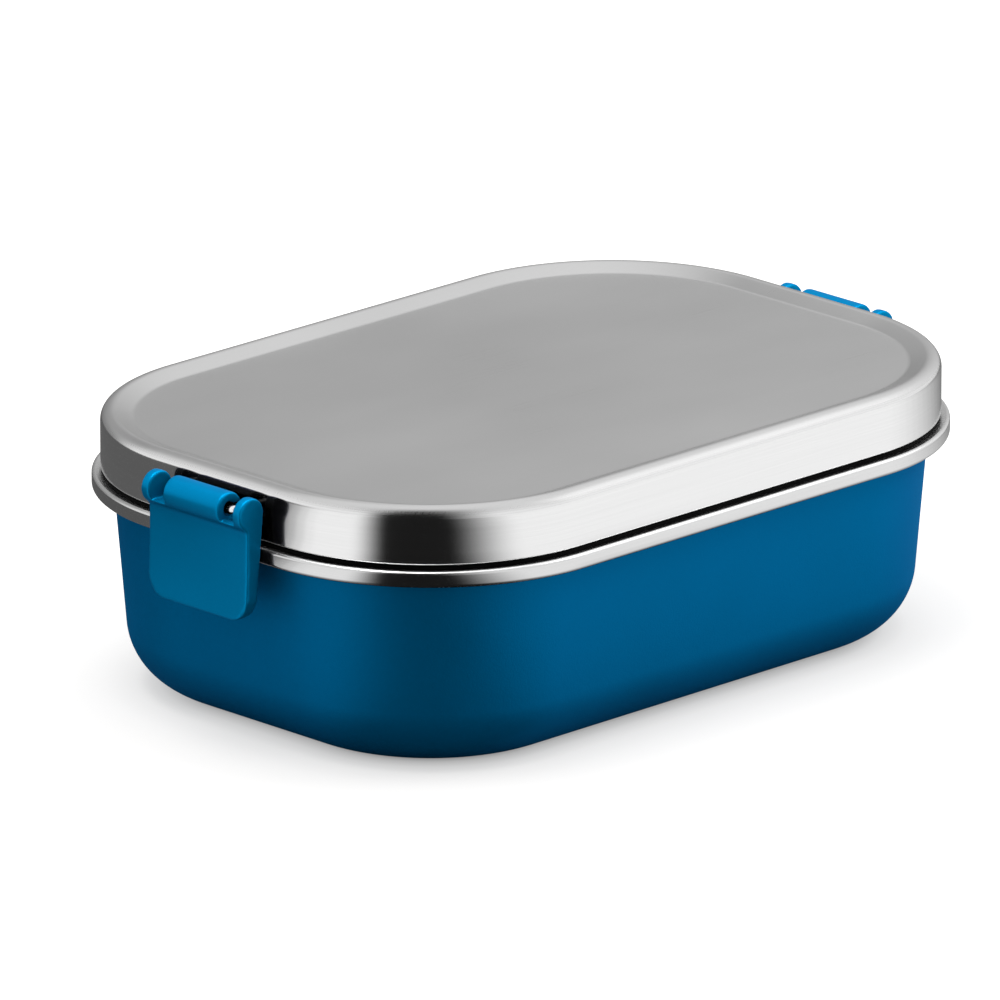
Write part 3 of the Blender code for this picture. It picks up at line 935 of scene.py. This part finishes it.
def clip_side():
    """Side view, x outboard and y up: round top, hollow neck, flared face and a back clear of the rim."""
    radius = BARREL / 2
    neck_x = FRONT + NECK_ROUND
    neck = (neck_x, -sqrt((radius + NECK_ROUND) ** 2 - neck_x ** 2))
    lean = degrees(atan2(neck[1], neck[0]))
    top = arc((0, 0), radius, lean, 180, 2 * CLIP_STEPS)
    heel = FRONT + FLARE - FOOT
    taper = (heel + BACK) / (CLIP_LENGTH - RIM_LEVEL)
    back = [(-BACK, -RIM_LEVEL), (heel + taper * OVERCUT, -CLIP_LENGTH - OVERCUT)]
    drop = CLIP_LENGTH + neck[1]
    face = []
    for step in range(CLIP_STEPS):
        down = (drop + OVERCUT) * (1 - step / CLIP_STEPS)
        face.append((FRONT + FLARE * (down / drop) ** 2, neck[1] - down))
    hollow = arc(neck, NECK_ROUND, 180, 180 + lean, CLIP_STEPS // 2)
    return top + back + face + hollow[:-1]


def clip_front():
    """Front view, x along the wire and y up: square above, round lower corners."""
    half = CLIP_WIDTH / 2
    top = BARREL / 2 + OVERCUT
    low = CLIP_CORNER - CLIP_LENGTH
    left = arc((CLIP_CORNER - half, low), CLIP_CORNER, 180, 270, CLIP_STEPS)
    right = arc((half - CLIP_CORNER, low), CLIP_CORNER, 270, 360, CLIP_STEPS)
    return [(-half, top)] + left + right + [(half, top)]


def hook_side():
    """Side view of the catch: a ledge curved about the wire, so that it swings clear of the rim."""
    bead = (REACH + RIM_BEAD / 2 - RIM_OVERHANG, WIRE_HEIGHT - RIM_TOP + RIM_BEAD / 2)
    inner = hypot(*bead) + RIM_BEAD / 2 + CLEARANCE
    middle = inner + HOOK_THICK / 2
    tip_turn = 270 - degrees(asin((REACH + WALL_INSET - HOOK_TIP_GAP - HOOK_THICK / 2) / middle))
    root_turn = 270 + degrees(asin((FRONT - PLATE / 2) / inner))
    tip = (middle * cos(radians(tip_turn)), middle * sin(radians(tip_turn)))
    upper = arc((0, 0), inner, root_turn, tip_turn, CLIP_STEPS)
    nose = arc(tip, HOOK_THICK / 2, tip_turn - 180, tip_turn, CLIP_STEPS // 2)
    lower = arc((0, 0), inner + HOOK_THICK, tip_turn, root_turn, CLIP_STEPS)
    return upper + nose[1:-1] + lower


print("clip outlines of", len(clip_side()), "and", len(clip_front()), "points")

# %% Clip solid
SIDE_ON = Matrix.Rotation(pi / 2, 4, "X")
FRONT_ON = Matrix.Rotation(pi / 2, 4, "Z") @ Matrix.Rotation(pi / 2, 4, "X")


def slab(name, drawing, width, turn):
    """A closed outline given a width, turned into the clip's own frame: x outboard, y along the wire."""
    bm = bmesh.new()
    face = bm.faces.new([bm.verts.new((x, y, -width / 2)) for x, y in drawing])
    raised = bmesh.ops.extrude_face_region(bm, geom=[face])["geom"]
    verts = [item for item in raised if isinstance(item, bmesh.types.BMVert)]
    bmesh.ops.translate(bm, vec=(0, 0, width), verts=verts)
    bmesh.ops.recalc_face_normals(bm, faces=bm.faces)
    bmesh.ops.transform(bm, matrix=turn, verts=bm.verts)
    return as_object(name, bm)


def rectangle(low, high):
    """Four corners of an upright rectangle."""
    return [low, (high[0], low[1]), high, (low[0], high[1])]


def combine(body, tools):
    """Apply each (operation, tool) to the body in turn, then remove the tools."""
    for operation, tool in tools:
        step = body.modifiers.new(tool.name, "BOOLEAN")
        step.operation = operation
        step.object = tool
    mesh = baked(body)
    for _, tool in tools:
        bpy.data.objects.remove(tool, do_unlink=True)
    made = bpy.data.objects.new("clip_solid", mesh)
    bpy.context.scene.collection.objects.link(made)
    return made


radius = BARREL / 2
back, front = -radius - OVERCUT, radius + OVERCUT
barrel = BARREL_WIDTH / 2
inside = CLIP_WIDTH / 2 - CHEEK
notch = rectangle((back, -NOTCH_DEPTH), (front, front))
notches = [slab("notch", notch, inside - barrel,
                Matrix.Translation((0, side * (inside + barrel) / 2, 0)) @ SIDE_ON) for side in (-1, 1)]
pocket = slab("pocket", rectangle((back, -CLIP_LENGTH - OVERCUT), (FRONT - PLATE, -NOTCH_DEPTH - BRIDGE)),
              2 * inside, SIDE_ON)
bore = slab("bore", arc((0, 0), WIRE / 2 + BORE_GAP, 0, 360, 2 * CLIP_STEPS)[:-1],
            BARREL_WIDTH + 2 * OVERCUT, SIDE_ON)
slot = slab("snap_slot", rectangle((back, -SNAP_SLOT / 2), (0, SNAP_SLOT / 2)),
            BARREL_WIDTH + 2 * OVERCUT, SIDE_ON)
clip_solid = combine(slab("clip", clip_side(), CLIP_WIDTH + 2 * OVERCUT, SIDE_ON), [
    ("INTERSECT", slab("front_view", clip_front(), 2 * (BARREL + OVERCUT), FRONT_ON)),
    ("DIFFERENCE", notches[0]), ("DIFFERENCE", notches[1]), ("DIFFERENCE", pocket),
    ("UNION", slab("catch", hook_side(), HOOK_WIDTH, SIDE_ON)),
    ("DIFFERENCE", bore), ("DIFFERENCE", slot)])
print("clip solid has", len(clip_solid.data.polygons), "faces before it is softened")

# %% Softened clips
VOXEL = 0.00026
SMOOTHING = 26
SMOOTH_FACTOR = 0.5

even_faces = clip_solid.modifiers.new("even_faces", "REMESH")
even_faces.mode = "VOXEL"
even_faces.voxel_size = VOXEL
soft_edges = clip_solid.modifiers.new("soft_edges", "SMOOTH")
soft_edges.factor = SMOOTH_FACTOR
soft_edges.iterations = SMOOTHING
clip_mesh = baked(clip_solid)
for name, hinge in sorted(HINGES.items()):
    mesh = clip_mesh.copy()
    mesh.transform(facing_out(hinge))
    new_piece("moulded_" + name, mesh, clip_plastic, name, "clip", name)
bpy.data.meshes.remove(clip_mesh)
